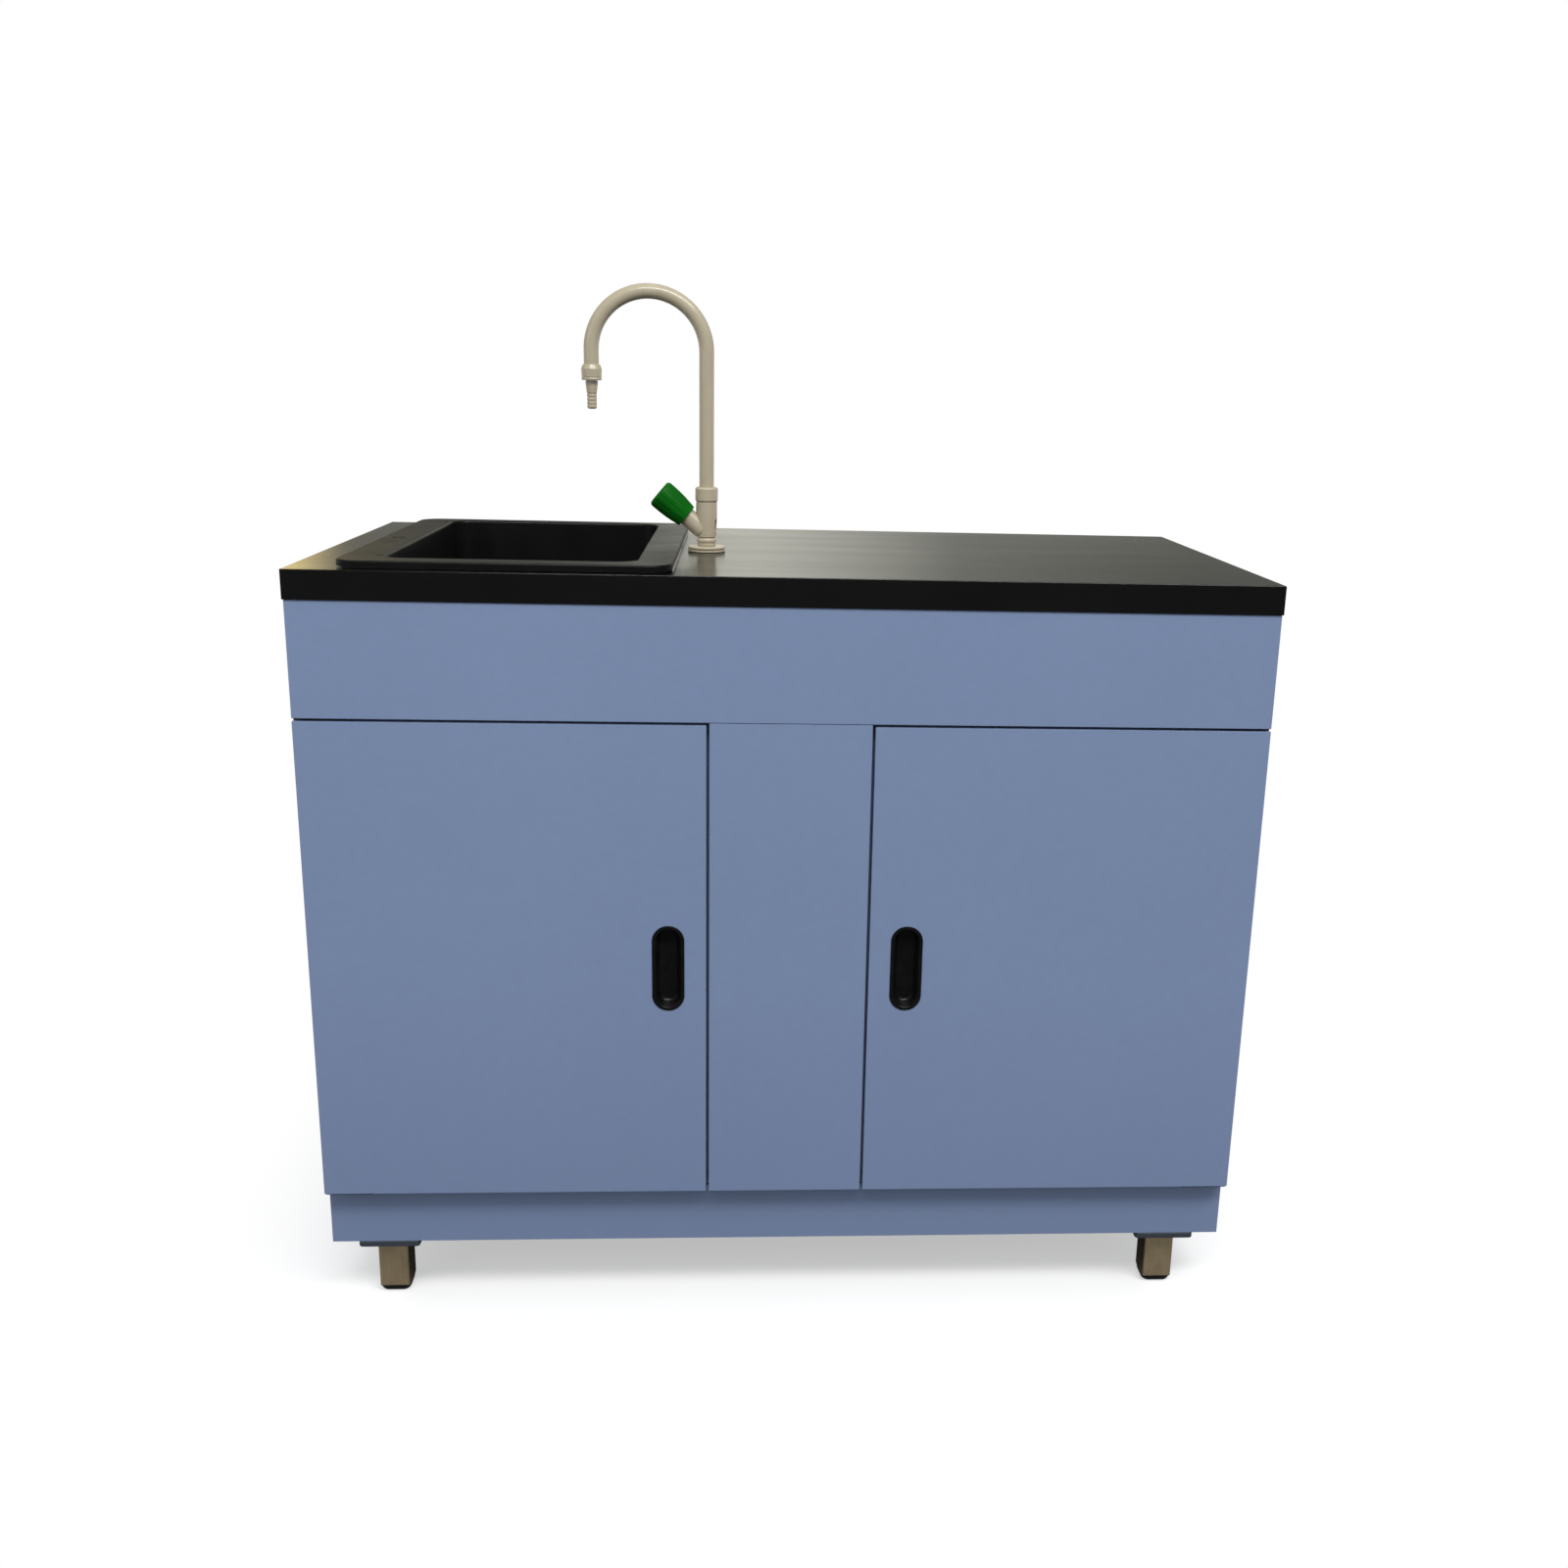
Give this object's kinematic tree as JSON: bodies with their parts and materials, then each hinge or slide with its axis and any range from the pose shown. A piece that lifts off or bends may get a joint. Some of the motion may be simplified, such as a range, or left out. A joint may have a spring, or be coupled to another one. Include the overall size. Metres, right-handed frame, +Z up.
{
  "type": "laboratory sink bench",
  "caption": "Floor-standing laboratory bench with a black worktop, drop-in sink, swan-neck tap and hinged cupboard doors with recessed pulls, on short steel legs.",
  "frame": {"origin": "on the floor, under the middle of the worktop", "axes": "+X to the right of a person who faces the bench, +Y from its front to its back, +Z up"},
  "size_m": [1.2, 0.6, 1.3263],
  "materials": {
    "blue_laminate": "pale blue matt laminate on board",
    "black_worktop": "black semi-gloss laminate",
    "bare_board": "uncoated board",
    "black_sink": "satin black moulding",
    "grey_rubber": "soft grey rubber",
    "white_pipe": "white pipe plastic",
    "cream_coat": "cream powder coat",
    "brass": "turned brass",
    "green_plastic": "green moulded plastic",
    "stainless": "brushed stainless steel",
    "zinc_steel": "zinc-plated steel",
    "black_plastic": "black moulded plastic",
    "white_nylon": "white nylon"
  },
  "bodies": {
    "bench": {"worktop": "black_worktop", "left_side_panel": "blue_laminate", "right_side_panel": "blue_laminate", "bottom_panel": "blue_laminate", "back_panel": "blue_laminate", "head_rail": "bare_board", "left_partition": "blue_laminate", "right_partition": "blue_laminate", "fascia_panel": "blue_laminate", "centre_panel": "blue_laminate", "plinth_board": "blue_laminate", "front_batten": "bare_board", "back_batten": "bare_board", "leg_front_left": "stainless", "leg_front_right": "stainless", "leg_back_left": "stainless", "leg_back_right": "stainless", "foot_front_left": "black_plastic", "foot_front_right": "black_plastic", "foot_back_left": "black_plastic", "foot_back_right": "black_plastic", "sink_basin": "black_sink", "sink_seal": "grey_rubber", "sink_waste": "black_sink", "waste_nut": "black_sink", "trap_coupling_nut": "white_pipe", "trap_body": "white_pipe", "trap_cup": "white_pipe", "outlet_pipe": "white_pipe", "outlet_coupling_nut": "white_pipe", "tap_flange": "cream_coat", "tap_body": "cream_coat", "tap_shank": "brass", "tap_washer": "grey_rubber", "tap_backnut": "brass", "spout_washer": "grey_rubber", "swivel_collar": "cream_coat", "valve_cartridge": "brass", "left_top_pivot_plate": "zinc_steel", "left_bottom_pivot_plate": "zinc_steel", "right_top_pivot_plate": "zinc_steel", "right_bottom_pivot_plate": "zinc_steel", "left_catch": "white_nylon", "right_catch": "white_nylon"},
    "left_door": {"left_door_panel": "blue_laminate", "left_handle_cup": "black_plastic", "left_bottom_bush": "white_nylon", "left_top_bush": "white_nylon", "left_strike_plate": "zinc_steel"},
    "right_door": {"right_door_panel": "blue_laminate", "right_handle_cup": "black_plastic", "right_bottom_bush": "white_nylon", "right_top_bush": "white_nylon", "right_strike_plate": "zinc_steel"},
    "spout": {"gooseneck": "cream_coat", "nozzle_collar": "cream_coat", "hose_nozzle": "cream_coat"},
    "knob": {"valve_knob": "green_plastic", "valve_spindle": "brass"}
  },
  "joints": [
    {"name": "left_door_hinge", "type": "hinge", "parent": "bench", "child": "left_door", "pos_m": [-0.5915, -0.289, 0.1715], "axis": [0, 0, -1], "range_deg": [0, 110]},
    {"name": "right_door_hinge", "type": "hinge", "parent": "bench", "child": "right_door", "pos_m": [0.5915, -0.289, 0.1715], "axis": [0, 0, 1], "range_deg": [0, 110]},
    {"name": "spout_swivel", "type": "hinge", "parent": "bench", "child": "spout", "pos_m": [-0.1106, -0.03, 1.0501], "axis": [0, 0, 1], "continuous": true},
    {"name": "knob_turn", "type": "hinge", "parent": "bench", "child": "knob", "pos_m": [-0.1106, -0.03, 1.0073], "axis": [-0.766, 0, 0.6428], "range_deg": [0, 180]}
  ]
}
